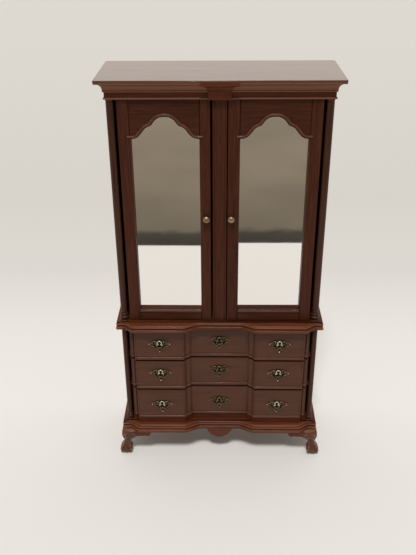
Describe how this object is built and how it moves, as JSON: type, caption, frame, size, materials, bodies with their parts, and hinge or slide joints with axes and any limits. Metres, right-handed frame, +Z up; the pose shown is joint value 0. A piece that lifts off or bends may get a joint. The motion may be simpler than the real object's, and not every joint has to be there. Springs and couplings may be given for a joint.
{
  "type": "armoire",
  "caption": "Miniature mahogany armoire: arched mirror doors over block-front drawers, on carved feet with pierced brass pulls.",
  "frame": {"origin": "on the floor, under the middle of the armoire's overall box", "axes": "+Z up, -Y towards the viewer who faces the doors, +X to that viewer's right"},
  "size_m": [0.1036, 0.0402, 0.1911],
  "materials": {
    "mahogany": "polished dark red-brown mahogany, fine straight grain",
    "moulding": "polished mahogany, slightly redder, high gloss on the edges",
    "plain_wood": "bare, thin, pale wood inside the drawers and on the dividers",
    "mirror": "silvered glass, slightly grey",
    "brass": "antique brass casting, dark in the hollows"
  },
  "bodies": {
    "case": {"top_board": "moulding", "cornice": "moulding", "keystone": "moulding", "side_left": "mahogany", "side_right": "mahogany", "back_panel": "mahogany", "waist_board": "moulding", "base_board": "moulding", "centre_stile": "mahogany", "upper_column_left": "mahogany", "upper_column_right": "mahogany", "lower_column_left": "mahogany", "lower_column_right": "mahogany", "foot_front_left": "moulding", "foot_front_right": "moulding", "foot_rear_left": "moulding", "foot_rear_right": "moulding", "pendant": "moulding", "divider_lower": "plain_wood", "divider_upper": "plain_wood"},
    "door_left": {"door_left_hinge_stile": "mahogany", "door_left_meeting_stile": "mahogany", "door_left_bottom_rail": "mahogany", "door_left_arched_rail": "mahogany", "door_left_mirror": "mirror", "door_left_knob": "brass", "door_left_lower_pin": "brass", "door_left_upper_pin": "brass"},
    "door_right": {"door_right_hinge_stile": "mahogany", "door_right_meeting_stile": "mahogany", "door_right_bottom_rail": "mahogany", "door_right_arched_rail": "mahogany", "door_right_mirror": "mirror", "door_right_knob": "brass", "door_right_lower_pin": "brass", "door_right_upper_pin": "brass"},
    "drawer_bottom": {"drawer_bottom_front": "mahogany", "drawer_bottom_side_left": "plain_wood", "drawer_bottom_side_right": "plain_wood", "drawer_bottom_back": "plain_wood", "drawer_bottom_bottom": "plain_wood", "drawer_bottom_pull_left": "brass", "drawer_bottom_pull_centre": "brass", "drawer_bottom_pull_right": "brass"},
    "drawer_middle": {"drawer_middle_front": "mahogany", "drawer_middle_side_left": "plain_wood", "drawer_middle_side_right": "plain_wood", "drawer_middle_back": "plain_wood", "drawer_middle_bottom": "plain_wood", "drawer_middle_pull_left": "brass", "drawer_middle_pull_centre": "brass", "drawer_middle_pull_right": "brass"},
    "drawer_top": {"drawer_top_front": "mahogany", "drawer_top_side_left": "plain_wood", "drawer_top_side_right": "plain_wood", "drawer_top_back": "plain_wood", "drawer_top_bottom": "plain_wood", "drawer_top_pull_left": "brass", "drawer_top_pull_centre": "brass", "drawer_top_pull_right": "brass"}
  },
  "joints": [
    {"name": "door_left_hinge", "type": "hinge", "parent": "case", "child": "door_left", "pos_m": [-0.0401, -0.01195, 0.13], "axis": [0, 0, -1], "range_deg": [0, 95]},
    {"name": "door_right_hinge", "type": "hinge", "parent": "case", "child": "door_right", "pos_m": [0.0401, -0.01195, 0.13], "axis": [0, 0, 1], "range_deg": [0, 95]},
    {"name": "drawer_bottom_slide", "type": "slide", "parent": "case", "child": "drawer_bottom", "axis": [0, -1, 0], "range_m": [0, 0.025]},
    {"name": "drawer_middle_slide", "type": "slide", "parent": "case", "child": "drawer_middle", "axis": [0, -1, 0], "range_m": [0, 0.025]},
    {"name": "drawer_top_slide", "type": "slide", "parent": "case", "child": "drawer_top", "axis": [0, -1, 0], "range_m": [0, 0.025]}
  ]
}
